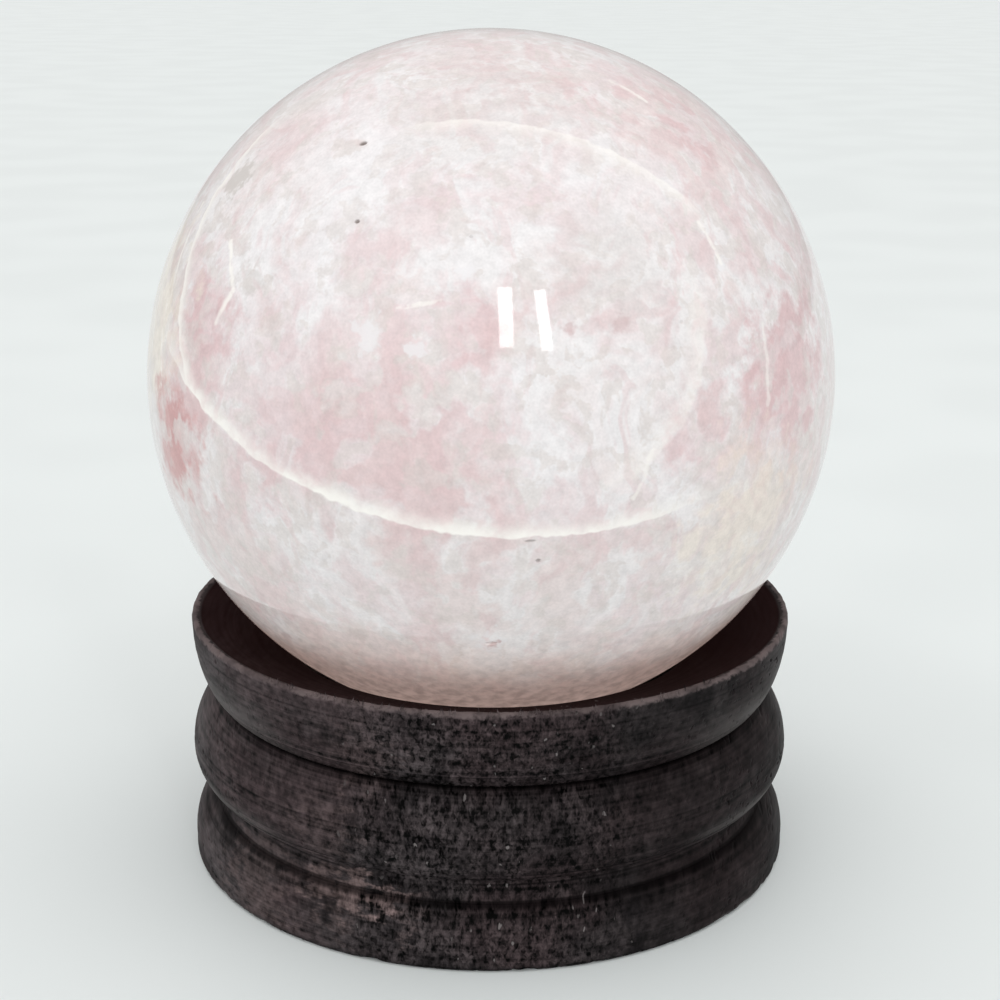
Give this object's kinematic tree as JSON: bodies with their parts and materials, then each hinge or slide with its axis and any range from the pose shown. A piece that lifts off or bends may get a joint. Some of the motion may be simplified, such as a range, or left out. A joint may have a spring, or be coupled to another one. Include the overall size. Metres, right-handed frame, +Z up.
{
  "type": "decorative sphere on a ring stand",
  "caption": "Polished pale stone ball that rests loose in a dark turned wooden ring stand, as a table ornament.",
  "frame": {"origin": "centre of the stand's underside, on the surface it stands on", "axes": "+Z up along the stand's turning axis, through the ball's centre; the ball and stand are round, so X and Y are free, with -Y taken as the front"},
  "size_m": [0.076, 0.076, 0.0929],
  "materials": {
    "stone": "polished pale pink and white stone",
    "wood": "dark stained open-pored wood, thin worn finish"
  },
  "bodies": {
    "root": {"stone_ball": "stone", "ring_stand": "wood"}
  },
  "joints": []
}
